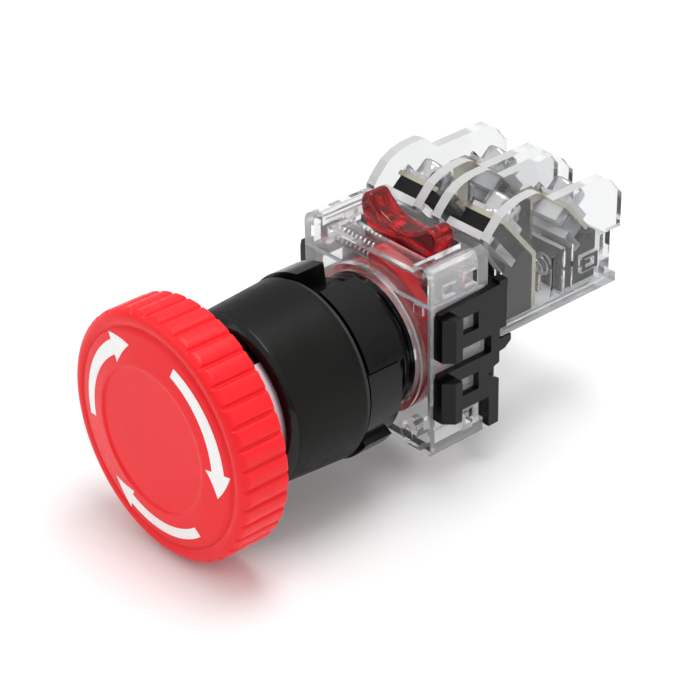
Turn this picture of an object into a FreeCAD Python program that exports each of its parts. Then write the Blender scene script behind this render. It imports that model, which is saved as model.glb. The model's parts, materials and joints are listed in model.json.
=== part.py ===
import FreeCAD, Part
import math
import os

# Emergency stop push button, 22 mm panel series, with a clip-on holder and two contact blocks.
# Frame: Y is the button's axis, the panel's front face is Y = 0, the mushroom points to -Y,
# the contact blocks are at +Y, +Z is up. All lengths are in millimetres.

# Operator head
CAP_R = 20.0                 # mushroom
CAP_BACK = -19.85            # rear rim of the mushroom
CAP_FACE = -29.2             # highest ring of the face
CAP_RIBS = 38                # ribs round the rim
CAP_HOLLOW_R = 17.0
CAP_HOLLOW_FLOOR = -25.2
DISC_R = 11.4                # dished disc in the face
DISC_DEPTH = 0.25
FACE_GROOVE_R = 17.4         # fine line round the face
GROOVE_R = 0.55              # grooves between the ribs
GROOVE_DEPTH = 0.45
ARROW_R = 14.8               # mean radius of the curved arrows
ARROW_TAIL = 189.0           # angle of the first arrow's tail, from +X towards +Z
ARROW_SHAFT = 64.0           # degrees of shaft, then of head
ARROW_HEAD = 17.0
ARROW_HALF = (0.8, 1.15)     # half width of the shaft at its tail and at the head
ARROW_HEAD_HALF = 2.3
INLAY = 0.3                  # depth of the arrow inlays
CAP_SHOULDER_R = 2.0         # rounding between the rim and the face
CAP_SHOULDER_DROP = 0.9      # front of the shoulder behind the highest ring
NECK_R = 12.1                # neck under the mushroom
NECK_WALL = 1.5
BAND_DEPTH = 0.4             # pale inlays in the neck
BAND_ARC = 110.0
BAND_START = (-54, 126)
NECK_BACK = -11.2
COLLAR_LIP = -14.3           # front edge of the collar's funnel-shaped mouth
COLLAR_FRONT = -13.0
COLLAR_FRONT_R = 14.0
COLLAR_BACK_R = 14.86
COLLAR_BORE_R = 12.6
COLLAR_FLOOR = -1.8          # where the wide bore steps down to the barrel bore
BARREL_R = 11.0              # 22 mm threaded barrel
BARREL_BORE_R = 9.2
BARREL_END = 17.2
SPINDLE_R = 5.0
SPINDLE_FRONT = -27.4
LEDGE = (12.6, 14.0)         # ledge in the barrel that carries the return spring and guides the spindle
FLANGE_BACK = 0.0            # rear of the spindle's spring flange
FLANGE_R = 8.4
FLANGE_THICK = 1.2
RETURN_SPRING_R = 7.2
RETURN_SPRING_WIRE = 0.45
PUSHER = (17.8, 19.8)        # pusher plate, front and back
SPIGOT_R = 3.0
RUNNING_FIT = 0.05
THREAD_PITCH = 1.5
THREAD_DEPTH = 0.45
THREAD_START = 2.2
THREAD_TURNS = 8
PIN_R = 1.0                  # locking pins
PIN_Y = -8.3
PIN_TIP = 7.8
LATCH_FRONT = -6.6
LATCH_BORE_R = 8.65
LATCH_GROOVE_R = 9.3

# Lock nut
NUT_FRONT = 1.3
NUT_BACK = 8.5
NUT_R = 14.0
NUT_TOOTH_R = 14.4
NUT_WING_R = 15.2
NUT_HUB_R = 11.8

# Contact holder, cover and yoke
HOLDER_X = 14.2              # half width
HOLDER_FRONT = 13.1
HOLDER_BACK = 24.4
HOLDER_BOTTOM = -14.9
HOLDER_SPLIT = 11.0          # height where the cover sits on the holder
COVER_TOP = 17.4
COVER_BAR_TOP = 16.0
COVER_BACK = 25.0
HOLDER_WALL = 1.4
POCKET_DEPTH = 0.9           # blind pockets in the cover's sides
FRONT_WALL = 1.6
HOLDER_BORE_R = 11.3
HOLDER_RIM_R = 12.5          # raised rim round the opening
RELIEF = 0.4
CATCH_X = (10.8, 12.8)       # small catch that stands up beside the opening
CATCH_BOTTOM = 9.6
RIB_X = (9.2, 10.4)          # rib along each side of the floor
RIB_TOP = -11.6
PEG_R = 1.6                  # pegs behind the front wall's lower corners
PEG_X = 8.8
PEG_Z = -12.6
HOLDER_WINDOWS = ((19.9, 22.1, -13.3, -9.8), (23.4, 25.4, -12.6, -9.2))    # in the side walls, Y then Z
COVER_POCKETS = ((15.9, 18.4, 11.9, 14.0), (20.1, 22.7, 12.2, 14.6))
YOKE_X = 15.4
YOKE_BOTTOM = -13.8
SEAT_X = 13.6
YOKE_PLATE_FRONT = 24.6
YOKE_PLATE_BACK = 26.6
SEAT_BACK = 28.4
ARM_WINDOWS = ((17.0, 22.0, 5.0, 8.0), (17.0, 22.2, -5.85, -2.75))    # in each side arm, Y then Z
HOOKS_Z = ((2.4, 9.7), (-8.4, -1.2))
HOOK_X = 17.6
HOOK_FRONT = 13.7
HOOK_BACK = 16.6
HOOK_CHAMFER = 1.5

# Lock lever
LEVER_FRONT = 14.95
LEVER_BACK = 16.95
LEVER_BORE_R = 11.3
LEVER_R = 12.4
LEVER_SECTOR_R = 13.7
LEVER_WEB_R = 14.6
LEVER_WEB_END = 92
HANDLE_FRONT = 18.0
HANDLE_BACK = 22.2
HANDLE_EDGE = 0.7            # rounding along the thumb piece's rims
SADDLE = [(-5.6, 16.2), (-6.6, 18.4), (-6.5, 20.8), (-5.2, 21.6), (-3.7, 20.6), (-1.4, 18.9), (1.6, 18.2),
          (4.4, 18.5), (6.8, 19.7), (8.4, 20.5), (9.7, 19.9), (9.9, 18.2), (9.0, 16.2), (1.8, 15.9)]
WINDOW_LEFT = -9.9
WINDOW_RIGHT = 10.4
WINDOW_FRONT = 17.5
WINDOW_BACK = 22.9
SPRING_X = (-9.4, -0.65)     # ends of the lever's return spring
SPRING_Y = 16.0
SPRING_Z = 13.8
LEVER_SPRING_R = 0.95

# Contact blocks
BLOCK_CENTRE = 7.4           # distance of each block's middle from X = 0
BLOCK_HALF = 6.2
SIDE_WALL = 1.8
BLOCK_FRONT = 28.7
BLOCK_BACK = 52.7
BLOCK_FOOT = 54.4
SLOPE = math.radians(50.0)   # tilt of the terminals
SLOPE_U = (math.cos(SLOPE), -math.sin(SLOPE))
SLOPE_N = (math.sin(SLOPE), math.cos(SLOPE))
REAR_SHIFT = (14.3, -2.6)    # rear terminal from the front one, in Y and Z
SCREW_U = 7.8                # screw axis along the slope
DECK_N = (31.1, 32.4)        # clear deck under a terminal base
BASE_N = (32.45, 34.9)       # black terminal base
STRIP_N = (34.9, 35.7)       # brass strip
WASHER_N = (35.7, 36.9)
HEAD_N = (36.47, 39.5)
SCREW_TIP_N = 32.6
SCREW_R = 1.7
HEAD_R = 2.5
WASHER_HALF = 3.0
STRIP_FRONT_U = 5.0
BASE_FRONT_U = 5.1
BASE_BACK_U = 11.5
STRIP_BACK_U = 12.0
TAIL_FRONT = 36.4            # front face of the front strip's upright tail
TAIL_BACK = 37.2
PLUNGER_Z = (4.0, 6.5)
PLUNGER_HALF = 1.1
PLUNGER_TIP = 19.9
BRIDGE_FRONT = 37.95
BRIDGE_BACK = 38.6
BRIDGE_Z = 5.25
CONTACT_X = 2.7              # fixed contacts either side of the block's middle
PARTITION = (42.8, 43.7)
PARTITION_TOP = 9.6
BLOCK_FLOOR = 1.5            # thickness of the floor
BLOCK_FRONT_WALL = 1.3
BLOCK_BACK_WALL = 1.4
BLOCK_END_TOP = 9.0          # height of the front and back walls
SLIDE_GAP = 0.1              # round the plungers and inside the side walls
CONTACT_SPRING_R = 1.45
SPRING_POCKET_R = 1.9
STRIP_HALF = 3.7
BASE_HALF = 3.0
BOSS = (47.4, 51.0, 3.5, 6.5)    # square boss inside each side wall, in Y and Z
BOSS_DEPTH = 0.8
BOSS_RIM = 0.8
LINE = 0.35                  # width and depth of the fine grooves in the side walls

V = FreeCAD.Vector
Y_AXIS = V(0, 1, 0)


def box(x0, x1, y0, y1, z0, z1):
    return Part.makeBox(x1 - x0, y1 - y0, z1 - z0, V(x0, y0, z0))


def along_y(radius, y0, y1, x=0.0, z=0.0):
    return Part.makeCylinder(radius, y1 - y0, V(x, y0, z), Y_AXIS)


def ring(outer, inner, y0, y1):
    return along_y(outer, y0, y1).cut(along_y(inner, y0 - 1, y1 + 1))


def polygon_face(points):
    return Part.Face(Part.makePolygon(points + [points[0]]))


def revolved(profile):
    """Turn a closed (radius, y) outline about the Y axis."""
    face = polygon_face([V(r, y, 0) for r, y in profile])
    return face.revolve(V(0, 0, 0), Y_AXIS, 360)


def prism_x(outline, x0, x1):
    """Push a (y, z) outline along X."""
    face = polygon_face([V(x0, y, z) for y, z in outline])
    return face.extrude(V(x1 - x0, 0, 0))


def prism_y(outline, y0, y1):
    """Push an (x, z) outline along Y."""
    face = polygon_face([V(x, y0, z) for x, z in outline])
    return face.extrude(V(0, y1 - y0, 0))


def sector(outer, inner, y0, y1, start, end):
    """Part of a ring about Y, from one angle to another, in degrees from +X towards +Z."""
    first, last = math.radians(start), math.radians(end)
    middle = (first + last) / 2

    def at(radius, angle):
        return V(radius * math.cos(angle), y0, radius * math.sin(angle))

    edges = [
        Part.Arc(at(outer, first), at(outer, middle), at(outer, last)).toShape(),
        Part.LineSegment(at(outer, last), at(inner, last)).toShape(),
        Part.Arc(at(inner, last), at(inner, middle), at(inner, first)).toShape(),
        Part.LineSegment(at(inner, first), at(outer, first)).toShape(),
    ]
    return Part.Face(Part.Wire(edges)).extrude(V(0, y1 - y0, 0))


def coil(radius, wire, length, turns, start, direction):
    """Round-wire compression spring from a start point along a direction."""
    helix = Part.makeHelix(length / turns, length, radius)
    profile = Part.Wire(Part.makeCircle(wire, V(radius, 0, 0), V(0, 1, 0)))
    spring = Part.Wire(helix).makePipeShell([profile], True, True)
    turn = FreeCAD.Rotation(V(0, 0, 1), direction)
    spring.Placement = FreeCAD.Placement(start, turn)
    return spring


def save(name, shape):
    if len(shape.Solids) == 1:
        shape = shape.Solids[0]
    shape.exportStep("parts/" + name + ".step")


# ---------------------------------------------------------------- operator head

def cap_profile():
    """Outer outline of the mushroom, from its rear rim round to its axis."""
    centre_r, centre_y = CAP_R - CAP_SHOULDER_R, CAP_FACE + CAP_SHOULDER_R + CAP_SHOULDER_DROP
    shoulder = []
    for step in range(6):
        angle = math.radians(15 * step)
        shoulder.append((centre_r + CAP_SHOULDER_R * math.cos(angle),
                         centre_y - CAP_SHOULDER_R * math.sin(angle)))
    groove = [(FACE_GROOVE_R + 0.2, -28.2), (FACE_GROOVE_R, -28.0), (FACE_GROOVE_R - 0.2, -28.3)]
    face = [(DISC_R + 0.3, CAP_FACE), (DISC_R, CAP_FACE + DISC_DEPTH), (0, CAP_FACE + DISC_DEPTH)]
    return [(CAP_R - 0.4, CAP_BACK), (CAP_R, CAP_BACK - 0.4)] + shoulder + groove + face


def mushroom_cap():
    hollow_edge = 0.6
    hollow = [(0, CAP_HOLLOW_FLOOR), (CAP_HOLLOW_R - hollow_edge, CAP_HOLLOW_FLOOR),
              (CAP_HOLLOW_R, CAP_HOLLOW_FLOOR + hollow_edge), (CAP_HOLLOW_R, CAP_BACK)]
    cap = revolved(cap_profile() + hollow)
    for index in range(CAP_RIBS):
        groove = along_y(GROOVE_R, CAP_FACE - 1, CAP_BACK + 1, CAP_R + GROOVE_R - GROOVE_DEPTH)
        groove.rotate(V(0, 0, 0), Y_AXIS, 360.0 / CAP_RIBS * index)
        cap = cap.cut(groove)
    socket = along_y(SPINDLE_R + RUNNING_FIT, SPINDLE_FRONT - 0.1, CAP_HOLLOW_FLOOR + 1)
    return cap.cut(socket).cut(direction_arrows()).removeSplitter()


def arrow(tail):
    """Curved arrow round the face, clockwise from the tail's angle, as a prism right through the face."""
    steps = 8
    outer, inner = [], []
    for step in range(steps + 1):
        turn = math.radians(tail - ARROW_SHAFT * step / steps)
        half = ARROW_HALF[0] + (ARROW_HALF[1] - ARROW_HALF[0]) * step / steps
        outer.append(((ARROW_R + half) * math.cos(turn), (ARROW_R + half) * math.sin(turn)))
        inner.append(((ARROW_R - half) * math.cos(turn), (ARROW_R - half) * math.sin(turn)))
    head = []
    corners = ((ARROW_R + ARROW_HEAD_HALF, 0), (ARROW_R, ARROW_HEAD), (ARROW_R - ARROW_HEAD_HALF, 0))
    for radius, angle in corners:
        turn = math.radians(tail - ARROW_SHAFT - angle)
        head.append((radius * math.cos(turn), radius * math.sin(turn)))
    return prism_y(outer + head + inner[::-1], CAP_FACE - 1, CAP_FACE + 3)


def direction_arrows():
    """Three arrows cut to the face's own curve and INLAY deep."""
    solid = revolved(cap_profile() + [(0, CAP_BACK)])
    core = solid.copy()
    core.translate(V(0, INLAY, 0))
    skin = solid.cut(core)
    arrows = [skin.common(arrow(ARROW_TAIL - 120 * index)).Solids[0] for index in range(3)]
    return Part.makeCompound(arrows)


def neck_sleeve():
    """Tube under the mushroom that slides in the collar."""
    sleeve = ring(NECK_R, NECK_R - NECK_WALL, CAP_HOLLOW_FLOOR, NECK_BACK)
    return sleeve.cut(status_band())


def status_band():
    """Two pale inlays, half a turn apart, that show between the mushroom and the collar."""
    front, back = CAP_HOLLOW_FLOOR + 1.5, NECK_BACK - 1.0
    bands = [sector(NECK_R, NECK_R - BAND_DEPTH, front, back, start, start + BAND_ARC) for start in BAND_START]
    return Part.makeCompound(bands)


def spindle():
    """Rod with the pins' cross hole, the return spring's flange and a spigot for the pusher plate."""
    rod = along_y(SPINDLE_R, SPINDLE_FRONT, PUSHER[0])
    flange = along_y(FLANGE_R, FLANGE_BACK - FLANGE_THICK, FLANGE_BACK)
    spigot = along_y(SPIGOT_R, PUSHER[0] - 1, PUSHER[1])
    through = SPINDLE_R + 1
    hole = Part.makeCylinder(PIN_R + RUNNING_FIT, 2 * through, V(-through, PIN_Y, 0), V(1, 0, 0))
    return rod.fuse(flange).fuse(spigot).cut(hole).removeSplitter()


def locking_pin(side):
    """Round-nosed pin on one side of the spindle."""
    inner, nose = 3.0, PIN_TIP - PIN_R
    pin = Part.makeCylinder(PIN_R, nose - inner, V(side * inner, PIN_Y, 0), V(side, 0, 0))
    return pin.fuse(Part.makeSphere(PIN_R, V(side * nose, PIN_Y, 0))).removeSplitter()


def latch_spring():
    half = 2.8
    return coil(0.6, 0.15, 2 * half, 7, V(-half, PIN_Y, 0), V(1, 0, 0))


def latch_ring():
    """Steel ring in the collar; the pins spring into its inner groove when the button is down."""
    back = COLLAR_FLOOR - RUNNING_FIT
    outer = COLLAR_BORE_R - RUNNING_FIT
    profile = [(outer, LATCH_FRONT), (outer, back), (LATCH_BORE_R, back), (LATCH_BORE_R, back - 0.8),
               (LATCH_GROOVE_R, back - 1.3), (LATCH_GROOVE_R, LATCH_FRONT + 1.2),
               (LATCH_BORE_R, LATCH_FRONT + 0.6), (LATCH_BORE_R, LATCH_FRONT)]
    return revolved(profile)


def return_spring():
    wire = RETURN_SPRING_WIRE
    start = FLANGE_BACK + wire + 0.05
    return coil(RETURN_SPRING_R, wire, LEDGE[0] - FLANGE_BACK - 2 * wire - 0.1, 6, V(0, start, 0), Y_AXIS)


def operator_housing():
    """Collar and threaded barrel, with the ledge that the return spring stands on."""
    edge = 0.3
    outline = [
        (COLLAR_BORE_R, COLLAR_LIP), (COLLAR_BORE_R + edge, COLLAR_LIP), (COLLAR_FRONT_R, COLLAR_FRONT),
        (COLLAR_BACK_R, -edge), (COLLAR_BACK_R - edge, 0), (BARREL_R, 0), (BARREL_R, BARREL_END - edge),
        (BARREL_R - edge, BARREL_END), (BARREL_BORE_R, BARREL_END), (BARREL_BORE_R, LEDGE[1]),
        (SPINDLE_R + RUNNING_FIT, LEDGE[1]), (SPINDLE_R + RUNNING_FIT, LEDGE[0]), (BARREL_BORE_R, LEDGE[0]),
        (BARREL_BORE_R, COLLAR_FLOOR), (COLLAR_BORE_R, COLLAR_FLOOR),
    ]
    housing = revolved(outline)
    flank = THREAD_PITCH * 0.7
    for index in range(THREAD_TURNS):
        root = THREAD_START + THREAD_PITCH * index
        groove = revolved([(BARREL_R - THREAD_DEPTH, root), (BARREL_R + THREAD_DEPTH, root - flank),
                           (BARREL_R + THREAD_DEPTH, root + flank)])
        housing = housing.cut(groove)
    bayonet = ring(BARREL_R + 1, BARREL_R - 0.7, LEVER_FRONT + 0.2, LEVER_BACK - 0.2)
    key_flat = box(-1.0, 3.0, THREAD_START - 1, BARREL_END + 1, BARREL_R - 0.6, BARREL_R + 1)
    return housing.cut(bayonet).cut(key_flat)


def panel_gasket():
    return ring(COLLAR_BACK_R - 0.6, BARREL_R + 0.6, 0.0, 0.8)


def lock_nut():
    """Nut with two wings, a notch beside each wing and shallow teeth between."""
    nut = ring(NUT_HUB_R, BARREL_R + RUNNING_FIT, NUT_FRONT, NUT_BACK)
    teeth = ((99, 146, NUT_WING_R, 6.6), (19, 79, NUT_TOOTH_R, NUT_BACK), (-34, 17.5, NUT_R, 7.5))
    for half_turn in (0, 180):
        for start, end, radius, back in teeth:
            tooth = sector(radius, NUT_HUB_R - 0.4, NUT_FRONT, back, start + half_turn, end + half_turn)
            nut = nut.fuse(tooth)
        step = sector(NUT_R - 0.5, NUT_HUB_R - 0.4, NUT_FRONT, NUT_BACK, 17 + half_turn, 20 + half_turn)
        nut = nut.fuse(step)
    return nut.removeSplitter()


def pusher_plate():
    """Plate on the end of the spindle that meets both plungers."""
    plate = box(-9.6, 9.6, PUSHER[0], PUSHER[1], 2.9, 7.6)
    hub = along_y(7.0, PUSHER[0], PUSHER[1])
    return hub.fuse(plate).cut(along_y(SPIGOT_R + 0.02, PUSHER[0] - 1, PUSHER[1] + 1)).removeSplitter()


# ---------------------------------------------------------------- contact holder

def contact_holder():
    """Open-backed clear box with the round opening for the barrel."""
    body = box(-HOLDER_X, HOLDER_X, HOLDER_FRONT, HOLDER_BACK, HOLDER_BOTTOM, HOLDER_SPLIT)
    inner_x = HOLDER_X - HOLDER_WALL
    hollow = box(-inner_x, inner_x, HOLDER_FRONT + FRONT_WALL, HOLDER_BACK + 1,
                 HOLDER_BOTTOM + HOLDER_WALL, HOLDER_SPLIT + 1)
    rim = along_y(HOLDER_RIM_R, HOLDER_FRONT - RELIEF, HOLDER_FRONT + FRONT_WALL)
    body = body.cut(hollow).fuse(rim).cut(along_y(HOLDER_BORE_R, HOLDER_FRONT - 1, HOLDER_BACK))
    catch = box(*CATCH_X, HOLDER_FRONT - RELIEF, HOLDER_FRONT + FRONT_WALL, CATCH_BOTTOM, HOLDER_SPLIT)
    body = body.fuse(catch)
    for side in (-1, 1):
        edge = side * (HOLDER_X + 1)
        low, high = sorted((edge, side * (HOLDER_X - HOLDER_WALL - 1)))
        for window in HOLDER_WINDOWS:
            body = body.cut(box(low, high, *window))
        rib_low, rib_high = sorted((side * RIB_X[0], side * RIB_X[1]))
        rib = box(rib_low, rib_high, HOLDER_FRONT + FRONT_WALL, HOLDER_BACK, HOLDER_BOTTOM + 1, RIB_TOP)
        boss = along_y(PEG_R, HOLDER_FRONT + 0.5, HOLDER_FRONT + FRONT_WALL + 2, side * PEG_X, PEG_Z)
        recess = along_y(PEG_R - 0.3, HOLDER_FRONT - 1, HOLDER_FRONT + 0.35, side * PEG_X, PEG_Z - RELIEF)
        body = body.fuse(rib).fuse(boss).cut(recess)
    return body.removeSplitter()


def cover_outline(inset, top):
    """Rounded arch outline of the cover in X and Z."""
    corner = 2.2 - inset
    edge = HOLDER_X - inset
    points = [(-edge, HOLDER_SPLIT), (-edge, top - corner)]
    for step in range(1, 6):
        angle = math.radians(180 - 18 * step)
        points.append((-edge + corner + corner * math.cos(angle), top - corner + corner * math.sin(angle)))
    return points + [(-x, z) for x, z in reversed(points)]


def holder_cover():
    """Clear cover with raised side rails, a lower front bar and the lever's window."""
    skin = 1.2
    front, back = HOLDER_FRONT + HOLDER_WALL, COVER_BACK - HOLDER_WALL
    cover = prism_y(cover_outline(0, COVER_TOP), HOLDER_FRONT, COVER_BACK)
    hollow = prism_y(cover_outline(HOLDER_WALL, COVER_TOP - skin), front, back)
    bar = box(WINDOW_LEFT - skin, WINDOW_RIGHT + skin, front, back, COVER_BAR_TOP - 1.0, COVER_TOP)
    cover = cover.cut(hollow.cut(bar))
    for y0, bottom in ((HOLDER_FRONT - 1, COVER_BAR_TOP), (WINDOW_FRONT, HOLDER_SPLIT)):
        cover = cover.cut(box(WINDOW_LEFT, WINDOW_RIGHT, y0, WINDOW_BACK, bottom, COVER_TOP + 1))
    cover = cover.cut(along_y(HOLDER_BORE_R + 1.3, HOLDER_FRONT - 1, COVER_BACK - 2))
    for side in (-1, 1):
        low, high = sorted((side * (HOLDER_X + 1), side * (HOLDER_X - POCKET_DEPTH)))
        for pocket in COVER_POCKETS:
            cover = cover.cut(box(low, high, *pocket))
    stop = box(-11.2, SPRING_X[0] - 0.05, front - 0.2, WINDOW_FRONT, SPRING_Z - 1.2, COVER_BAR_TOP - 0.5)
    return cover.fuse(stop).removeSplitter()


def lock_lever():
    """Ring lever round the barrel with a saddle-shaped thumb piece through the window."""
    lever = ring(LEVER_R, LEVER_BORE_R, LEVER_FRONT, LEVER_BACK)
    for radius, start, end in ((LEVER_SECTOR_R, 32, 60), (LEVER_WEB_R, 42, LEVER_WEB_END)):
        lever = lever.fuse(sector(radius, LEVER_BORE_R, LEVER_FRONT, LEVER_BACK, start, end))
    front, back = LEVER_FRONT + 0.4, LEVER_BACK - 0.4
    for angle in (0, 180):
        lever = lever.fuse(sector(LEVER_BORE_R + 0.3, BARREL_R - 0.5, front, back, angle - 14, angle + 14))
    riser_back = HANDLE_FRONT + 2.2
    link = sector(LEVER_WEB_R, LEVER_R, LEVER_BACK - 0.5, riser_back, 55, LEVER_WEB_END)
    riser = box(-4.4, 7.9, HANDLE_FRONT + 0.8, riser_back, LEVER_R - 0.2, 17.6)
    lever = lever.fuse(link).fuse(riser)
    return lever.fuse(thumb_piece()).removeSplitter()


def thumb_piece():
    """Saddle with a rounded horn at each end, drawn through the SADDLE points in X and Z."""
    curve = Part.BSplineCurve()
    curve.interpolate([V(x, HANDLE_FRONT, z) for x, z in SADDLE], PeriodicFlag=True)
    face = Part.Face(Part.Wire(curve.toShape()))
    saddle = face.extrude(V(0, HANDLE_BACK - HANDLE_FRONT, 0))
    rims = [edge for edge in saddle.Edges if edge.BoundBox.YLength < 0.01]
    return saddle.makeFillet(HANDLE_EDGE, rims)


def lever_spring():
    wire = 0.18
    start = V(SPRING_X[0] + wire, SPRING_Y, SPRING_Z)
    return coil(LEVER_SPRING_R, wire, SPRING_X[1] - SPRING_X[0] - 2 * wire, 9, start, V(1, 0, 0))


def yoke_arm(side):
    """Side arm of the yoke with its openings, rear notch and two hooks."""
    inner = HOLDER_X + RUNNING_FIT
    outline = [(14.0, 10.3), (YOKE_PLATE_BACK, 10.9), (YOKE_PLATE_BACK, -2.9), (24.4, -3.6), (24.4, -4.4),
               (YOKE_PLATE_BACK, -5.8), (YOKE_PLATE_BACK, YOKE_BOTTOM), (24.5, YOKE_BOTTOM), (24.5, -8.3),
               (14.0, -8.3), (14.0, -0.4), (24.8, -0.4), (24.8, 2.65), (14.0, 2.65)]
    arm = prism_x(outline, inner, YOKE_X)
    for window in ARM_WINDOWS:
        arm = arm.cut(box(inner - 1, YOKE_X + 1, *window))
    hook = [(inner, HOOK_FRONT), (HOOK_X - HOOK_CHAMFER, HOOK_FRONT), (HOOK_X, HOOK_FRONT + HOOK_CHAMFER),
            (HOOK_X, HOOK_BACK), (inner, HOOK_BACK)]
    for bottom, top in HOOKS_Z:
        face = polygon_face([V(x, y, bottom) for x, y in hook])
        arm = arm.fuse(face.extrude(V(0, 0, top - bottom)))
    if side < 0:
        arm = arm.mirror(V(0, 0, 0), V(1, 0, 0))
    return arm


def mounting_yoke():
    """Back plate behind the holder, its two side arms, the seat and the shelf for the blocks."""
    half = HOLDER_X + RUNNING_FIT
    plate = box(-half, half, YOKE_PLATE_FRONT, YOKE_PLATE_BACK, YOKE_BOTTOM, 10.8)
    seat = box(-SEAT_X, SEAT_X, YOKE_PLATE_BACK, SEAT_BACK, -0.4, 10.4)
    shelf_outline = [(YOKE_PLATE_BACK, -0.3), (30.9, -0.3), (30.9, -1.4), (29.6, -2.4), (YOKE_PLATE_BACK, -2.8)]
    shelf = prism_x(shelf_outline, -SEAT_X, SEAT_X)
    yoke = plate.fuse(seat).fuse(shelf)
    for side in (-1, 1):
        yoke = yoke.fuse(yoke_arm(side))
        tab_low, tab_high = sorted((side * 13.7, side * YOKE_X))
        yoke = yoke.fuse(box(tab_low, tab_high, 26.4, 28.0, 3.0, 11.4))
        passage = box(side * BLOCK_CENTRE - 1.6, side * BLOCK_CENTRE + 1.6, YOKE_PLATE_FRONT - 1, SEAT_BACK + 1,
                      PLUNGER_Z[0] - 0.5, PLUNGER_Z[1] + 0.5)
        yoke = yoke.cut(passage)
    return yoke.removeSplitter()


# ---------------------------------------------------------------- contact blocks
# Each block is drawn about its own middle plane, x = 0, and then moved to its place.

def slope_point(u, n, shift=(0.0, 0.0)):
    """Point (y, z) at a distance u down the terminal's slope and n out along its normal."""
    y = n * SLOPE_N[0] + u * SLOPE_U[0] + shift[0]
    z = n * SLOPE_N[1] + u * SLOPE_U[1] + shift[1]
    return (y, z)


def slope_slab(u_range, n_range, half_width, shift):
    (u0, u1), (n0, n1) = u_range, n_range
    corners = [(u0, n0), (u1, n0), (u1, n1), (u0, n1)]
    return prism_x([slope_point(u, n, shift) for u, n in corners], -half_width, half_width)


def slope_cylinder(radius, n_range, shift):
    y, z = slope_point(SCREW_U, n_range[0], shift)
    return Part.makeCylinder(radius, n_range[1] - n_range[0], V(0, y, z), V(0, SLOPE_N[0], SLOPE_N[1]))


def screw_hole(shift):
    """Clearance hole for a terminal screw, from its tip out past the washer."""
    return slope_cylinder(SCREW_R + RUNNING_FIT, (SCREW_TIP_N - 0.1, WASHER_N[1] + 1), shift)


def wall_outline():
    """Side wall with the high front fin and the rear guard."""
    fin = [(25.9, 15.3), (25.4, 16.6), (25.6, 17.6), (26.5, 18.8), (28.5, 20.8), (30.6, 21.8), (32.8, 22.3),
           (35.6, 22.4), (36.7, 22.0), (39.4, 19.8)]
    guard = [(50.6, 19.9), (52.8, 18.4), (55.0, 15.7), (55.0, 9.7), (BLOCK_BACK, 9.7), (BLOCK_BACK, 2.9),
             (BLOCK_FOOT, 1.6), (BLOCK_FOOT, 0)]
    return [(BLOCK_FRONT, 0), (BLOCK_FRONT, 11.2)] + fin + guard


def block_housing():
    inner = BLOCK_HALF - SIDE_WALL
    housing = prism_x(wall_outline(), -BLOCK_HALF, -inner)
    housing = housing.fuse(prism_x(wall_outline(), inner, BLOCK_HALF))
    floor = box(-inner, inner, BLOCK_FRONT, BLOCK_FOOT, 0, BLOCK_FLOOR)
    front = box(-inner, inner, BLOCK_FRONT, BLOCK_FRONT + BLOCK_FRONT_WALL, 0, BLOCK_END_TOP)
    back = box(-inner, inner, BLOCK_BACK - BLOCK_BACK_WALL, BLOCK_BACK, 0, BLOCK_END_TOP)
    partition = box(-inner, inner, PARTITION[0], PARTITION[1], 0, PARTITION_TOP)
    for piece in (floor, front, back, partition, wall_boss(-1), wall_boss(1)):
        housing = housing.fuse(piece)
    front_deck = slope_slab((4.6, 12.0), DECK_N, inner, (0, 0))
    rear_deck = slope_slab((7.8, 12.0), DECK_N, inner, REAR_SHIFT)
    housing = housing.fuse(front_deck).fuse(rear_deck)
    spring_hole = along_y(SPRING_POCKET_R, PARTITION[0] - 0.5, PARTITION[1] + 0.5, 0, BRIDGE_Z)
    housing = housing.cut(plunger_channel(BLOCK_FRONT - 1, BLOCK_FRONT + 2)).cut(spring_hole)
    return housing.cut(wall_grooves()).removeSplitter()


def plunger_channel(y0, y1):
    return box(-PLUNGER_HALF - SLIDE_GAP, PLUNGER_HALF + SLIDE_GAP, y0, y1,
               PLUNGER_Z[0] - SLIDE_GAP, PLUNGER_Z[1] + SLIDE_GAP)


def wall_boss(side):
    """Square frame on the inside of a side wall, behind the partition."""
    y0, y1, z0, z1 = BOSS
    low, high = sorted((side * (BLOCK_HALF - SIDE_WALL - BOSS_DEPTH), side * (BLOCK_HALF - SIDE_WALL)))
    boss = box(low, high, y0, y1, z0, z1)
    return boss.cut(box(low, high, y0 + BOSS_RIM, y1 - BOSS_RIM, z0 + BOSS_RIM, z1 - BOSS_RIM))


def wall_grooves():
    """Fine grooves in both outer faces: one along the foot and three upright ones."""
    grooves = []
    for side in (-1, 1):
        low, high = sorted((side * (BLOCK_HALF - LINE), side * (BLOCK_HALF + 1)))
        grooves.append(box(low, high, BLOCK_FRONT + 1.1, BLOCK_BACK - 1.1, 1.4, 1.4 + LINE))
        for y, top in ((39.6, 9.8), (42.2, 10.4), (44.0, 10.4)):
            grooves.append(box(low, high, y, y + LINE, 2.4, top))
    return Part.makeCompound(grooves)


def front_insulator():
    """Dark body that guides the plunger."""
    half = BLOCK_HALF - SIDE_WALL - SLIDE_GAP
    under_strip = slope_point(BASE_BACK_U + 0.4, STRIP_N[0] - 0.15)
    body = prism_x([(30.2, 1.6), (36.2, 1.6), (36.2, 10.8), under_strip, (32.85, 11.75), (32.85, 10.6),
                    (31.4, 10.6), (30.2, 11.9)], -half, half)
    return body.cut(plunger_channel(BLOCK_FRONT, TAIL_BACK))


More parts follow.
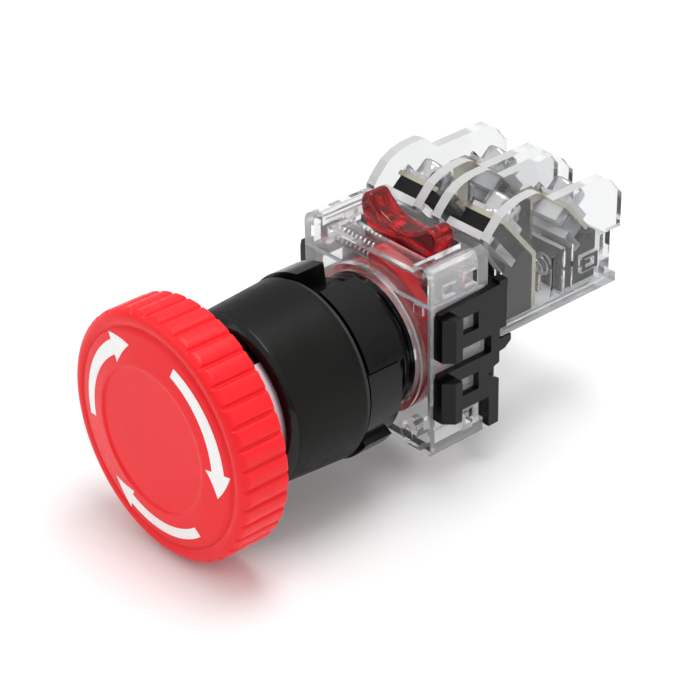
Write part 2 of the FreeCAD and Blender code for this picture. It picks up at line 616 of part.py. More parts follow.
def rear_insulator():
    """Dark body behind the partition, with the contact spring's pocket."""
    half = BLOCK_HALF - SIDE_WALL - BOSS_DEPTH - SLIDE_GAP
    body = prism_x([(43.8, 1.6), (51.2, 1.6), (51.2, 9.7), (48.6, 9.9), (47.15, 9.0), (47.15, 8.0), (45.6, 7.9),
                    (43.8, 9.2)], -half, half)
    pocket = along_y(SPRING_POCKET_R, PARTITION[0], 49.0, 0, BRIDGE_Z)
    return body.cut(pocket)


def front_terminal():
    """Sloping strip with the clamp hole and an upright tail at +x that carries a fixed contact."""
    start = slope_point(STRIP_FRONT_U, STRIP_N[0])
    low = [start, (TAIL_FRONT, (STRIP_N[0] - TAIL_FRONT * SLOPE_N[0]) / SLOPE_N[1])]
    high = [(TAIL_BACK, (STRIP_N[1] - TAIL_BACK * SLOPE_N[0]) / SLOPE_N[1]),
            slope_point(STRIP_FRONT_U, STRIP_N[1])]
    tail = prism_x(low + [(TAIL_FRONT, 2.0), (TAIL_BACK, 2.0)] + high, 1.5, 4.1)
    plate = slope_slab((STRIP_FRONT_U, STRIP_BACK_U), STRIP_N, STRIP_HALF, (0, 0))
    strip = plate.fuse(tail)
    return strip.cut(screw_hole((0, 0))).removeSplitter()


def rear_terminal():
    """Sloping strip that runs forward over the partition and down at -x to the other fixed contact."""
    plate = slope_slab((STRIP_FRONT_U, STRIP_BACK_U), STRIP_N, STRIP_HALF, REAR_SHIFT)
    corner_low = slope_point(STRIP_FRONT_U, STRIP_N[0], REAR_SHIFT)
    corner_high = slope_point(STRIP_FRONT_U, STRIP_N[1], REAR_SHIFT)
    thick = 0.6
    down = 41.4
    run = [corner_low, corner_high, (corner_high[0], corner_high[1] + 0.1), (down, corner_high[1] + 0.1),
           (down, 8.6), (TAIL_FRONT + 0.1, 8.6), (TAIL_FRONT + 0.1, 2.5), (TAIL_BACK, 2.5), (TAIL_BACK, 8.0),
           (down + thick, 8.0), (down + thick, corner_low[1] - 0.1), (corner_low[0], corner_low[1] - 0.1)]
    tail = prism_x(run, -3.9, -1.4)
    strip = plate.fuse(tail)
    return strip.cut(screw_hole(REAR_SHIFT)).removeSplitter()


def terminal_base(shift):
    base = slope_slab((BASE_FRONT_U, BASE_BACK_U), BASE_N, BASE_HALF, shift)
    return base.cut(screw_hole(shift))


def fixed_contacts():
    pads = [along_y(1.1, TAIL_BACK, TAIL_BACK + 0.35, x, BRIDGE_Z) for x in (-CONTACT_X, CONTACT_X)]
    return Part.makeCompound(pads)


def clamp_washer(shift):
    """Square washer with its side edges turned up round the screw's head."""
    u_range = (SCREW_U - WASHER_HALF, SCREW_U + WASHER_HALF)
    plate_top = WASHER_N[0] + 0.75
    washer = slope_slab(u_range, WASHER_N, WASHER_HALF, shift)
    relief = slope_slab((u_range[0] - 1, u_range[1] + 1), (plate_top, WASHER_N[1] + 1), HEAD_R + 0.1, shift)
    return washer.cut(relief).cut(screw_hole(shift)).removeSplitter()


def terminal_screw(shift):
    """Pan-head screw with a cross recess."""
    head = slope_cylinder(HEAD_R, HEAD_N, shift)
    rim = max(head.Edges, key=lambda edge: edge.CenterOfMass.dot(V(0, SLOPE_N[0], SLOPE_N[1])))
    head = head.makeFillet(0.7, [rim])
    shank = slope_cylinder(SCREW_R, (SCREW_TIP_N, HEAD_N[0] + 0.5), shift)
    screw = head.fuse(shank)
    for half_u, half_x in ((0.35, 1.5), (1.5, 0.35)):
        across = (SCREW_U - half_u, SCREW_U + half_u)
        screw = screw.cut(slope_slab(across, (HEAD_N[1] - 1.3, HEAD_N[1] + 1), half_x, shift))
    return screw.removeSplitter()


def contact_bridge():
    bar = box(-4.0, 4.0, BRIDGE_FRONT, BRIDGE_BACK, BRIDGE_Z - 1.5, BRIDGE_Z + 1.5)
    for x in (-CONTACT_X, CONTACT_X):
        bar = bar.fuse(along_y(1.0, TAIL_BACK + 0.38, BRIDGE_FRONT, x, BRIDGE_Z))
    return bar.removeSplitter()


def plunger():
    tip = [(PLUNGER_TIP, 4.6), (PLUNGER_TIP, 5.9), (PLUNGER_TIP + 0.8, PLUNGER_Z[1]),
           (BRIDGE_FRONT, PLUNGER_Z[1]), (BRIDGE_FRONT, PLUNGER_Z[0]), (PLUNGER_TIP + 0.8, PLUNGER_Z[0])]
    return prism_x(tip, -PLUNGER_HALF, PLUNGER_HALF)


def contact_spring():
    length = 9.6
    return coil(CONTACT_SPRING_R, 0.2, length, 8, V(0, BRIDGE_BACK + 0.3, BRIDGE_Z), Y_AXIS)


def save_block(side_name, centre):
    pieces = {
        "block_housing": block_housing(),
        "front_insulator": front_insulator(),
        "rear_insulator": rear_insulator(),
        "front_terminal": front_terminal(),
        "rear_terminal": rear_terminal(),
        "front_terminal_base": terminal_base((0, 0)),
        "rear_terminal_base": terminal_base(REAR_SHIFT),
        "fixed_contacts": fixed_contacts(),
        "front_washer": clamp_washer((0, 0)),
        "rear_washer": clamp_washer(REAR_SHIFT),
        "front_screw": terminal_screw((0, 0)),
        "rear_screw": terminal_screw(REAR_SHIFT),
        "contact_bridge": contact_bridge(),
        "plunger": plunger(),
        "contact_spring": contact_spring(),
    }
    for name, shape in pieces.items():
        shape.translate(V(centre, 0, 0))
        save(name + "_" + side_name, shape)


def main():
    os.makedirs("parts", exist_ok=True)
    single = (mushroom_cap, direction_arrows, neck_sleeve, status_band, spindle, latch_spring, latch_ring,
              return_spring, operator_housing, panel_gasket, lock_nut, pusher_plate,
              contact_holder, holder_cover, lock_lever, lever_spring, mounting_yoke)
    for make in single:
        save(make.__name__, make())
    for side_name, side in (("left", -1), ("right", 1)):
        save("locking_pin_" + side_name, locking_pin(side))
        save_block(side_name, side * BLOCK_CENTRE)


main()
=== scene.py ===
import bpy
import bmesh
import json
import math
from mathutils import Matrix, Vector


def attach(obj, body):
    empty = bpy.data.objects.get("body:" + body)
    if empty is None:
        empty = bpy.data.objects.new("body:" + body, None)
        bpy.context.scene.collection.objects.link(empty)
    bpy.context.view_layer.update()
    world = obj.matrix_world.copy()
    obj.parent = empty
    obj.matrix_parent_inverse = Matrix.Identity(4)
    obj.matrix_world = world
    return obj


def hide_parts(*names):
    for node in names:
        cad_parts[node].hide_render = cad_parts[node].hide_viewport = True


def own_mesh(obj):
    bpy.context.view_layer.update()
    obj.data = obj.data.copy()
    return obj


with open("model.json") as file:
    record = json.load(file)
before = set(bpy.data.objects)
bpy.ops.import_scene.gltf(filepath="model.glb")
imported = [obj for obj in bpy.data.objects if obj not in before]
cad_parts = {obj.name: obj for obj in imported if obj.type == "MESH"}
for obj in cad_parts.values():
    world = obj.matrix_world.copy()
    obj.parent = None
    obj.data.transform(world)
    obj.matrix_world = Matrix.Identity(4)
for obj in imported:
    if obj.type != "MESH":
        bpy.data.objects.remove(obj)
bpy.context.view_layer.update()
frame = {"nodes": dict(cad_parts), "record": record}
NODES = frame["nodes"]
MM = 0.001


# ---------------------------------------------------------------- camera, light and floor

FLOOR_Z = -20.8


def look_matrix(azimuth, elevation, roll, location):
    a, e, r = (math.radians(angle) for angle in (azimuth, elevation, roll))
    back = Vector((math.sin(a) * math.cos(e), -math.cos(a) * math.cos(e), math.sin(e)))
    right = Vector((math.cos(a), math.sin(a), 0))
    up = back.cross(right)
    x_axis = right * math.cos(r) + up * math.sin(r)
    y_axis = up * math.cos(r) - right * math.sin(r)
    matrix = Matrix((x_axis, y_axis, back)).transposed().to_4x4()
    matrix.translation = location
    return matrix


def make_camera():
    data = bpy.data.cameras.new("camera")
    data.lens = 129.37
    data.sensor_width = 36.0
    data.shift_x = -0.0164
    data.shift_y = 0.0346
    data.clip_start = 0.01
    camera = bpy.data.objects.new("camera", data)
    camera.matrix_world = look_matrix(48.254, 31.632, -0.733, (0.24821, -0.20966, 0.19906))
    bpy.context.scene.collection.objects.link(camera)
    bpy.context.scene.camera = camera


def area_light(name, location, target, size, power, colour=(1, 1, 1)):
    data = bpy.data.lights.new(name, "AREA")
    data.shape = "RECTANGLE"
    data.size, data.size_y = size
    data.energy = power
    data.color = colour
    light = bpy.data.objects.new(name, data)
    light.location = location
    light.rotation_euler = (Vector(target) - Vector(location)).to_track_quat("-Z", "Y").to_euler()
    bpy.context.scene.collection.objects.link(light)


def make_sky(scene):
    """White dome that darkens towards the horizon, so that glossy surfaces get contrast."""
    world = bpy.data.worlds.new("studio")
    world.use_nodes = True
    tree = world.node_tree
    place = tree.nodes.new("ShaderNodeTexCoord")
    split = tree.nodes.new("ShaderNodeSeparateXYZ")
    ramp = tree.nodes.new("ShaderNodeMapRange")
    ramp.inputs["From Min"].default_value = 0.0
    ramp.inputs["From Max"].default_value = 0.8
    ramp.inputs["To Min"].default_value = 0.34
    ramp.inputs["To Max"].default_value = 0.95
    tree.links.new(place.outputs["Generated"], split.inputs["Vector"])
    tree.links.new(split.outputs["Z"], ramp.inputs["Value"])
    tree.links.new(ramp.outputs["Result"], tree.nodes["Background"].inputs["Strength"])
    tree.nodes["Background"].inputs["Color"].default_value = (1, 1, 1, 1)
    scene.world = world


def make_studio():
    scene = bpy.context.scene
    scene.view_settings.view_transform = "Standard"
    scene.cycles.max_bounces = 32
    scene.cycles.transmission_bounces = 32
    scene.cycles.transparent_max_bounces = 32
    make_sky(scene)
    area_light("top", (0.02, 0.05, 0.45), (0, 0.015, 0), (0.28, 0.2), 1.15)
    area_light("front", (-0.25, -0.40, 0.25), (0, -0.01, 0), (0.35, 0.35), 0.35)
    area_light("side", (0.45, 0.10, 0.18), (0, 0.02, 0), (0.12, 0.4), 0.3)
    bm = bmesh.new()
    bmesh.ops.create_grid(bm, x_segments=1, y_segments=1, size=2.0)
    floor = add_object("floor", bm, [material_floor()])
    floor.location = (0, 0, FLOOR_Z * MM)


# ---------------------------------------------------------------- node helpers

class Shader:
    """A material with a Principled shader and short calls for the nodes that feed it."""

    def __init__(self, name, **values):
        self.material = bpy.data.materials.new(name)
        self.material.use_nodes = True
        self.tree = self.material.node_tree
        self.surface = self.tree.nodes["Principled BSDF"]
        for socket, value in values.items():
            self.surface.inputs[socket.replace("_", " ")].default_value = value

    def node(self, kind, **values):
        made = self.tree.nodes.new(kind)
        for name, value in values.items():
            if hasattr(made, name):
                setattr(made, name, value)
            else:
                made.inputs[name.replace("_", " ")].default_value = value
        return made

    def link(self, source, target):
        self.tree.links.new(source, target)

    def noise(self, scale, detail=3.0, roughness=0.5, stretch=(1, 1, 1)):
        place = self.node("ShaderNodeTexCoord")
        mapping = self.node("ShaderNodeMapping")
        mapping.inputs["Scale"].default_value = stretch
        texture = self.node("ShaderNodeTexNoise", Scale=scale, Detail=detail, Roughness=roughness)
        self.link(place.outputs["Object"], mapping.inputs["Vector"])
        self.link(mapping.outputs["Vector"], texture.inputs["Vector"])
        return texture.outputs["Fac"]

    def facing(self, axes):
        """How squarely a surface faces one of the axes, 0 to 1."""
        place = self.node("ShaderNodeTexCoord")
        split = self.node("ShaderNodeSeparateXYZ")
        self.link(place.outputs["Normal"], split.inputs["Vector"])
        most = None
        for axis in axes:
            size = self.node("ShaderNodeMath", operation="ABSOLUTE")
            self.link(split.outputs[axis], size.inputs[0])
            if most is None:
                most = size.outputs["Value"]
                continue
            larger = self.node("ShaderNodeMath", operation="MAXIMUM")
            self.link(most, larger.inputs[0])
            self.link(size.outputs["Value"], larger.inputs[1])
            most = larger.outputs["Value"]
        return most

    def position(self, axis):
        place = self.node("ShaderNodeTexCoord")
        split = self.node("ShaderNodeSeparateXYZ")
        self.link(place.outputs["Object"], split.inputs["Vector"])
        return split.outputs[axis]

    def spread(self, source, low, high, start=0.3, end=0.7):
        """Map a grey value onto the range low to high."""
        ramp = self.node("ShaderNodeMapRange")
        for name, value in (("From Min", start), ("From Max", end), ("To Min", low), ("To Max", high)):
            ramp.inputs[name].default_value = value
        self.link(source, ramp.inputs["Value"])
        return ramp.outputs["Result"]

    def colours(self, source, dark, light, start=0.3, end=0.7):
        ramp = self.node("ShaderNodeValToRGB")
        ramp.color_ramp.elements[0].position = start
        ramp.color_ramp.elements[0].color = (*dark, 1)
        ramp.color_ramp.elements[1].position = end
        ramp.color_ramp.elements[1].color = (*light, 1)
        self.link(source, ramp.inputs["Fac"])
        self.link(ramp.outputs["Color"], self.surface.inputs["Base Color"])
        return ramp

    def roughness(self, source, low, high):
        self.link(self.spread(source, low, high), self.surface.inputs["Roughness"])

    def bump(self, source, height, strength=1.0):
        bump = self.node("ShaderNodeBump", Strength=strength, Distance=height)
        self.link(source, bump.inputs["Height"])
        previous = self.surface.inputs["Normal"].links
        if previous:
            self.link(previous[0].from_socket, bump.inputs["Normal"])
        self.link(bump.outputs["Normal"], self.surface.inputs["Normal"])


def material_floor():
    shader = Shader("floor", Roughness=0.9)
    shader.colours(shader.noise(6.0), (0.86, 0.86, 0.86), (0.88, 0.88, 0.88))
    return shader.material


def moulded(name, dark, light, rough, grain=0.00002, **values):
    """Opaque moulded plastic: soft colour drift, fine grain and faint handling marks."""
    shader = Shader(name, **values)
    shader.colours(shader.noise(90.0, detail=4.0), dark, light)
    shader.roughness(shader.noise(700.0, detail=5.0), rough[0], rough[1])
    shader.bump(shader.noise(2500.0, detail=2.0), grain, 0.5)
    shader.bump(shader.noise(160.0, detail=2.0), grain * 2, 0.35)
    return shader.material


FLAT_FROM = (0.93, 0.995)      # cosines between which a face turns from rim to broad face


def clear(name, tint, rough, face, rim, broad=("X", "Y", "Z"), cloudy=None, **values):
    """Clear moulded plastic that lets lamps shine through; broad faces are clearer than milky rims.

    Cloudy gives a Y in metres and the transmission in front of it, for a piece that is denser there.
    """
    shader = Shader(name, IOR=1.45, Transmission_Weight=face, **values)
    shader.colours(shader.noise(60.0), tint, tuple(min(1.0, c * 1.02) for c in tint))
    shader.bump(shader.noise(150.0, detail=1.0), 0.00004, 0.2)
    flatness = shader.facing(broad)
    blur = shader.spread(flatness, rough[1], rough[0], *FLAT_FROM)
    shader.link(blur, shader.surface.inputs["Roughness"])
    clearness = shader.spread(flatness, rim, face, *FLAT_FROM)
    if cloudy:
        limit, dense = cloudy
        front_to_back = shader.spread(shader.position("Y"), dense, face, limit, limit + 0.4 * MM)
        least = shader.node("ShaderNodeMath", operation="MINIMUM")
        shader.link(clearness, least.inputs[0])
        shader.link(front_to_back, least.inputs[1])
        clearness = least.outputs["Value"]
    shader.link(clearness, shader.surface.inputs["Transmission Weight"])
    path = shader.node("ShaderNodeLightPath")
    through = shader.node("ShaderNodeBsdfTransparent")
    through.inputs["Color"].default_value = (*tint, 1)
    mix = shader.node("ShaderNodeMixShader")
    shader.link(path.outputs["Is Shadow Ray"], mix.inputs["Fac"])
    shader.link(shader.surface.outputs["BSDF"], mix.inputs[1])
    shader.link(through.outputs["BSDF"], mix.inputs[2])
    shader.link(mix.outputs["Shader"], shader.tree.nodes["Material Output"].inputs["Surface"])
    return shader.material


def metal(name, dark, light, rough, dents, brushed=(1, 1, 1), **values):
    shader = Shader(name, Metallic=1.0, **values)
    shader.colours(shader.noise(250.0, detail=5.0), dark, light)
    shader.roughness(shader.noise(600.0, detail=3.0, stretch=brushed), rough[0], rough[1])
    shader.bump(shader.noise(6000.0, detail=2.0, stretch=brushed), 0.000005, 0.08)
    shader.bump(shader.noise(420.0, detail=1.0), dents, 0.6)
    return shader.material


def make_materials():
    return {
        "red_plastic": moulded("red_plastic", (0.83, 0.008, 0.014), (0.88, 0.012, 0.019), (0.32, 0.42),
                               Specular_IOR_Level=0.26),
        "white_inlay": moulded("white_inlay", (0.88, 0.88, 0.87), (0.93, 0.93, 0.92), (0.35, 0.45)),
        "pale_band": moulded("pale_band", (0.52, 0.46, 0.50), (0.60, 0.53, 0.57), (0.35, 0.45)),
        "black_plastic": moulded("black_plastic", (0.003, 0.003, 0.003), (0.006, 0.006, 0.005), (0.38, 0.48),
                                 Specular_IOR_Level=0.13),
        # Black gloss for the collar's front and the neck sleeve, both under the mushroom: a glossier finish,
        # and a darker base colour that is partly painted shade.
        "black_gloss_painted_shade": moulded("black_gloss_painted_shade", (0.002, 0.002, 0.002), (0.003, 0.003, 0.003), (0.10, 0.16),
                               Specular_IOR_Level=0.3),
        "black_satin": moulded("black_satin", (0.002, 0.002, 0.002), (0.004, 0.004, 0.004), (0.16, 0.26),
                               Specular_IOR_Level=0.24),
        "dark_plastic": moulded("dark_plastic", (0.003, 0.003, 0.004), (0.006, 0.006, 0.007), (0.26, 0.38),
                                Specular_IOR_Level=0.18),
        "rubber": moulded("rubber", (0.01, 0.01, 0.01), (0.016, 0.016, 0.016), (0.6, 0.8)),
        "clear_plastic": clear("clear_plastic", (0.945, 0.947, 0.953), (0.04, 0.10), 0.98, 0.80,
                               broad=("Y", "Z"), Specular_Tint=(0.7, 0.7, 0.7, 1)),
        "clear_wall": clear("clear_wall", (0.78, 0.785, 0.792), (0.03, 0.16), 0.985, 0.42,
                            broad=("X", "Y"), Specular_Tint=(0.5, 0.5, 0.5, 1)),
        "red_clear_plastic": clear("red_clear_plastic", (0.52, 0.003, 0.008), (0.03, 0.06), 0.95, 0.9,
                                   cloudy=(0.0172, 0.5), Specular_Tint=(0.8, 0.8, 0.8, 1)),
        "steel": metal("steel", (0.52, 0.52, 0.53), (0.64, 0.64, 0.65), (0.05, 0.10), 0.0010),
        "brass": metal("brass", (0.52, 0.49, 0.40), (0.56, 0.53, 0.43), (0.22, 0.28), 0.0001),
        "silver": metal("silver", (0.75, 0.74, 0.72), (0.85, 0.84, 0.82), (0.15, 0.25), 0.0001),
    }


# ---------------------------------------------------------------- mesh helpers

def add_object(name, bm, materials):
    mesh = bpy.data.meshes.new(name)
    bm.to_mesh(mesh)
    bm.free()
    piece = bpy.data.objects.new(name, mesh)
    for material in materials:
        mesh.materials.append(material)
    bpy.context.scene.collection.objects.link(piece)
    return piece


def soften(piece, width, segments=2, angle=35):
    """Round a piece's edges and shade it smoothly between them."""
    bevel = piece.modifiers.new("rounded_edges", "BEVEL")
    bevel.width = width
    bevel.segments = segments
    bevel.limit_method = "ANGLE"
    bevel.angle_limit = math.radians(angle)
    bevel.harden_normals = True
    for polygon in piece.data.polygons:
        polygon.use_smooth = True


def sharp_edges(piece, angle):
    """Shade a piece smoothly, but leave edges above an angle crisp."""
    mesh = piece.data
    bm = bmesh.new()
    bm.from_mesh(mesh)
    for edge in bm.edges:
        edge.smooth = edge.calc_face_angle(0) < math.radians(angle)
    bm.to_mesh(mesh)
    bm.free()


def turned(name, outline, columns, slot, place=None, closed=False):
    """Turn an outline of (radius, y, ...) points in mm about Y; place(point, share of a turn) may vary both."""
    bm = bmesh.new()
    rings = []
    for point in outline:
        row = []
        for column in range(columns):
            angle = 2 * math.pi * column / columns
            r, y = place(point, column / columns) if place else point[:2]
            row.append(bm.verts.new((r * MM * math.cos(angle), y * MM, r * MM * math.sin(angle))))
        rings.append(row)
    pairs = list(zip(rings, rings[1:]))
    if closed:
        pairs.append((rings[-1], rings[0]))
    for first, second in pairs:
        for column in range(columns):
            after = (column + 1) % columns
            bm.faces.new((first[column], first[after], second[after], second[column]))
    if not closed:
        bm.faces.new(rings[-1])
        bm.faces.new(rings[0][::-1])
    bmesh.ops.recalc_face_normals(bm, faces=bm.faces)
    piece = add_object(name, bm, [MATERIALS[slot]])
    for polygon in piece.data.polygons:
        polygon.use_smooth = True
    return piece


# The neck sleeve's black gloss is partly painted shade from the mushroom above it.
LOOKS = {"block_housing_left": "clear_wall", "block_housing_right": "clear_wall",
         "rear_terminal_base_left": "clear_wall", "rear_terminal_base_right": "clear_wall",
         "lock_nut": "black_satin", "mounting_yoke": "black_satin", "neck_sleeve": "black_gloss_painted_shade"}
ROUNDING = {"contact_holder": 0.3, "holder_cover": 0.35, "lock_lever": 0.25, "mounting_yoke": 0.18,
            "lock_nut": 0.25, "block_housing_left": 0.3, "block_housing_right": 0.3}
SMALL_ROUNDING = 0.12


def finish_cad_nodes(materials):
    """Give every carried-over CAD node its material."""
    for part in frame["record"]["subparts"]:
        node = NODES[part["node"]]
        node.data.materials.clear()
        node.data.materials.append(materials[LOOKS.get(part["node"], part["material_slot"])])
        if "spring" not in part["node"]:
            soften(node, ROUNDING.get(part["node"], SMALL_ROUNDING) * MM)


# ---------------------------------------------------------------- mushroom

CAP_BACK = -19.85
CAP_R = 19.98
NOTCH_R = 19.38                # bottom of the notches between the ribs
RIBS = 38
SHOULDER_R = 1.6
FACE_RING = (17.2, -28.3)
DISC_RING = (11.7, -29.2)
DISC_Y = -28.92                # the dished disc in the middle
RIB_CROWN = 0.26
COLUMNS_PER_RIB = 24

ARROW_R = 14.8
ARROW_TAIL = 189               # degrees
ARROW_SHAFT = 64.0
ARROW_HEAD = 17.0
ARROW_HALF = (0.8, 1.15)       # half widths of the shaft at its tail and at its head
ARROW_HEAD_HALF = 2.3
ARROW_PROUD = 0.03
SHAFT_STEPS = 14
HEAD_STEPS = 8


def smoothstep(low, high, value):
    t = min(1.0, max(0.0, (value - low) / (high - low)))
    return t * t * (3 - 2 * t)


def on_face(radius):
    """Y of the mushroom's conical face at a radius, in mm."""
    share = (radius - FACE_RING[0]) / (DISC_RING[0] - FACE_RING[0])
    return FACE_RING[1] + share * (DISC_RING[1] - FACE_RING[1])


def cap_outline():
    """Outline of the mushroom without its notches, from inside to the face's middle, as (radius, y)."""
    points = [(12.2, -25.2), (16.3, -25.2), (16.8, -25.05), (17.0, -24.6), (17.0, -20.1), (17.15, CAP_BACK),
              (18.3, CAP_BACK), (19.2, CAP_BACK), (19.5, -19.87), (19.7, -19.92), (19.85, -20.0),
              (19.95, -20.12)]
    points += [(CAP_R, y) for y in (-20.3, -21.5, -23.0, -24.5, -25.7)]
    centre_r, centre_y = CAP_R - SHOULDER_R, FACE_RING[1] + SHOULDER_R
    for step in range(46):
        turn = math.radians(2.0 * step)
        points.append((centre_r + SHOULDER_R * math.cos(turn), centre_y - SHOULDER_R * math.sin(turn)))
    points += [(17.55, -28.22), (17.48, -28.1), (17.4, -28.06), (17.3, -28.14), FACE_RING]
    for share in (0.15, 0.4, 0.65, 0.9):
        radius = FACE_RING[0] + share * (DISC_RING[0] - FACE_RING[0])
        points.append((radius, on_face(radius)))
    points += [DISC_RING, (11.6, -29.16), (11.45, -29.02)]
    return points + [(radius, DISC_Y) for radius in (11.3, 10.8, 6.0)]


def rib_radius(turn):
    """Radius of the fluted rim at a share of a turn: crowned ribs with a narrow notch between them."""
    away = abs(turn * RIBS % 1.0 - 0.5) * 2
    crown = CAP_R - RIB_CROWN * away * away
    return crown + (NOTCH_R - crown) * smoothstep(0.72, 0.92, away)


def cut_notches(point, turn):
    """Bring a point of the mushroom's outline in to the bottom of the notch, where there is one."""
    radius, y = point
    return min(radius, rib_radius(turn)), y


def make_cap():
    cap = turned("mushroom_head", cap_outline(), RIBS * COLUMNS_PER_RIB, "red_plastic", cut_notches)
    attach(cap, "cap")
    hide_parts("mushroom_cap")


def arrow_stations():
    """Degrees from the tail and half width, along the shaft and then along the head."""
    tail_half, shaft_half = ARROW_HALF
    shares = [step / SHAFT_STEPS for step in range(SHAFT_STEPS + 1)]
    stations = [(ARROW_SHAFT * share, tail_half + (shaft_half - tail_half) * share) for share in shares]
    shares = [step / HEAD_STEPS for step in range(HEAD_STEPS + 1)]
    head_start = ARROW_SHAFT + 0.01
    return stations + [(head_start + ARROW_HEAD * share, ARROW_HEAD_HALF * (1 - share)) for share in shares]


def make_arrows():
    """Three inlaid arrows that follow the face's cone, a hair proud of it."""
    stations = arrow_stations()
    for index in range(3):
        tail = ARROW_TAIL - 120 * index
        bm = bmesh.new()
        rows = []
        for turn, half in stations:
            angle = math.radians(tail - turn)
            row = []
            for across in (-1, -0.5, 0, 0.5, 1):
                r = ARROW_R + half * across
                y = on_face(r) - ARROW_PROUD
                row.append(bm.verts.new((r * MM * math.cos(angle), y * MM, r * MM * math.sin(angle))))
            rows.append(row)
        for first, second in zip(rows, rows[1:]):
            for column in range(4):
                bm.faces.new((first[column], first[column + 1], second[column + 1], second[column]))
        bmesh.ops.remove_doubles(bm, verts=bm.verts, dist=0.000002)
        bmesh.ops.recalc_face_normals(bm, faces=bm.faces)
        faces = list(bm.faces)
        if sum(face.normal.y for face in faces) > 0:
            bmesh.ops.reverse_faces(bm, faces=faces)
        arrow = add_object(f"arrow_{index + 1}", bm, [MATERIALS["white_inlay"]])
        thick = arrow.modifiers.new("thickness", "SOLIDIFY")
        thick.thickness = 0.2 * MM
        thick.offset = -1
        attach(arrow, "cap")
        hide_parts("direction_arrows")


# ---------------------------------------------------------------- collar and threaded barrel

COLLAR_FRONT = -13.0
CONE = ((14.05, -12.5), (14.84, -0.4))    # the collar's outside, (radius, y) at each end
CONE_STEPS = 12
BARREL_R = 11.0
BARREL_BORE_R = 9.2
GUIDE_R = 5.05                 # hole for the spindle in the barrel's web
THREAD_PITCH = 1.5
THREAD_DEPTH = 0.5
THREAD_RUNOUT = 0.8
THREAD_ROWS = 100
THREAD_Y = (1.4, 14.6)
LEVER_GROOVE_Y = (15.15, 16.75)
LEVER_GROOVE_R = 10.3
KEY_FLAT = (0.205, 0.262)      # shares of a turn where the thread is interrupted


def cut_thread(point, turn):
    """Barrel with a helical thread, run out at both ends and across the key flat."""
    radius, y, threaded = point
    if not threaded:
        return radius, y
    start, end = THREAD_Y
    inside = smoothstep(start, start + THREAD_RUNOUT, y) * (1 - smoothstep(end - THREAD_RUNOUT, end, y))
    wave = abs(((y / THREAD_PITCH + turn) % 1.0) - 0.5) * 2
    groove = THREAD_DEPTH * smoothstep(0.35, 0.75, wave)
    for key in (KEY_FLAT[0], KEY_FLAT[0] + 0.5):
        if key < turn < key + KEY_FLAT[1] - KEY_FLAT[0]:
            groove, inside = THREAD_DEPTH, 1.0
    return radius - inside * groove, y


def make_housing():
    front = [(12.6, -1.8, 0), (12.6, -13.9, 0), (12.65, -14.2, 0), (12.8, -14.3, 0), (12.95, -14.2, 0),
             (13.92, -13.1, 0), (14.02, -12.9, 0), (*CONE[0], 0)]
    (front_r, front_y), (back_r, back_y) = CONE
    shares = [step / CONE_STEPS for step in range(1, CONE_STEPS)]
    cone = [(front_r + (back_r - front_r) * share, front_y + (back_y - front_y) * share, 0) for share in shares]
    back = [(back_r, back_y, 0), (14.82, -0.2, 0), (14.7, -0.05, 0), (14.5, 0, 0), (11.3, 0, 0),
            (BARREL_R, 0.1, 0)]
    start, length = THREAD_Y[0], THREAD_Y[1] - THREAD_Y[0]
    thread = [(BARREL_R, start + length * row / THREAD_ROWS, 1) for row in range(THREAD_ROWS + 1)]
    low, high = LEVER_GROOVE_Y
    end = [(BARREL_R, low, 0), (LEVER_GROOVE_R, low, 0), (LEVER_GROOVE_R, high, 0), (BARREL_R, high, 0),
           (BARREL_R, 17.0, 0), (10.8, 17.2, 0), (9.3, 17.2, 0), (BARREL_BORE_R, 17.1, 0),
           (BARREL_BORE_R, 14.0, 0), (GUIDE_R, 14.0, 0), (GUIDE_R, 12.6, 0), (BARREL_BORE_R, 12.6, 0),
           (BARREL_BORE_R, -1.8, 0)]
    housing = turned("collar_and_barrel", front + cone + back + thread + end, 240, "black_plastic",
                     cut_thread, closed=True)
    housing.data.materials.append(MATERIALS["black_gloss_painted_shade"])
    housing.data.materials.append(MATERIALS["black_satin"])
    # The collar's front, shaded by the mushroom, takes the black gloss: partly a glossier finish, partly
    # painted shade.
    for polygon in housing.data.polygons:
        if polygon.center.y < COLLAR_FRONT * MM:
            polygon.material_index = 1
        elif polygon.center.y > THREAD_Y[0] * MM:
            polygon.material_index = 2
    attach(housing, "fixed")
    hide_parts("operator_housing")
    sharp_edges(housing, 40)


# ---------------------------------------------------------------- coil springs

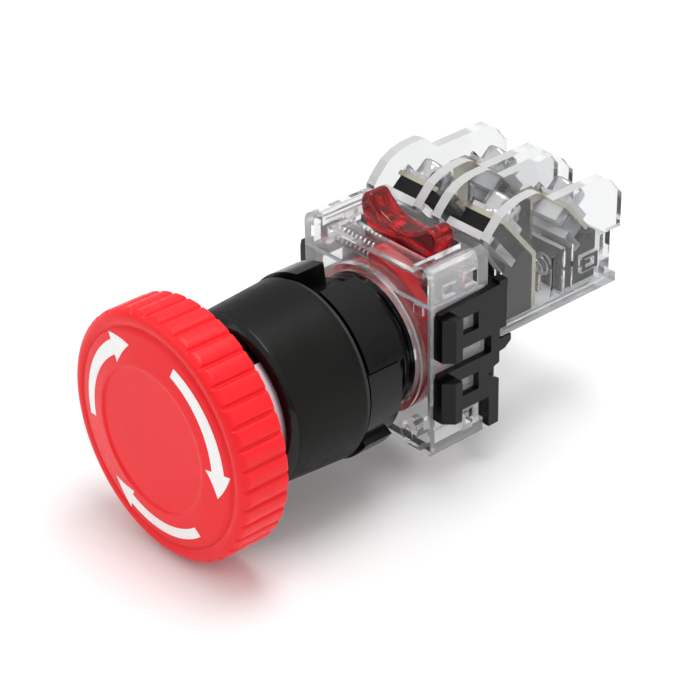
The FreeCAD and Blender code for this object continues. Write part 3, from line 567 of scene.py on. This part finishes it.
PUSH = 4.0                     # travel of the button, which the springs give way to
BLOCK_CENTRE = 7.4
CONTACT_Z = 5.25
LEVER_SPRING_Y = 16.0
LEVER_SPRING_Z = 13.8
LEVER_PUSH = 2.25              # travel of the lever's end of its spring


def make_spring(node, radius, wire, start, end, turns, joint, travel):
    """Coil in mm from start to end. The joint and the travel are not used."""
    start, end = Vector(start), Vector(end)
    along = (end - start).normalized()
    side = along.orthogonal().normalized()
    other = along.cross(side)
    per_turn, round_wire = 28, 8
    steps = turns * per_turn
    first, last = start + along * wire, end - along * wire
    bm = bmesh.new()
    rings = []
    for step in range(steps + 1):
        angle = 2 * math.pi * step / per_turn
        out = side * math.cos(angle) + other * math.sin(angle)
        centre = first.lerp(last, step / steps) + out * radius
        ring = []
        for corner in range(round_wire):
            turn = 2 * math.pi * corner / round_wire
            ring.append(bm.verts.new((centre + (out * math.cos(turn) + along * math.sin(turn)) * wire) * MM))
        rings.append(ring)
    for near, far in zip(rings, rings[1:]):
        for corner in range(round_wire):
            after = (corner + 1) % round_wire
            bm.faces.new((near[corner], near[after], far[after], far[corner]))
    bm.faces.new(rings[0][::-1])
    bm.faces.new(rings[-1])
    bmesh.ops.recalc_face_normals(bm, faces=bm.faces)
    spring = add_object(node + "_coil", bm, [MATERIALS["steel"]])
    for polygon in spring.data.polygons:
        polygon.use_smooth = True
    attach(spring, "fixed")
    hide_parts(node)
    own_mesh(spring)


def make_springs():
    make_spring("return_spring", 7.2, 0.45, (0, 0.05, 0), (0, 12.55, 0), 6, "button_push", PUSH)
    ends = [(x, LEVER_SPRING_Y, LEVER_SPRING_Z) for x in (-0.65, -9.4)]
    make_spring("lever_spring", 0.95, 0.18, *ends, 9, "lever_swing", LEVER_PUSH)
    for side, x in (("left", -BLOCK_CENTRE), ("right", BLOCK_CENTRE)):
        make_spring("contact_spring_" + side, 1.45, 0.2, (x, 38.7, CONTACT_Z), (x, 48.7, CONTACT_Z), 8,
                    "button_push", PUSH)


make_camera()
MATERIALS = make_materials()
make_studio()
finish_cad_nodes(MATERIALS)
make_cap()
make_arrows()
make_housing()
make_springs()
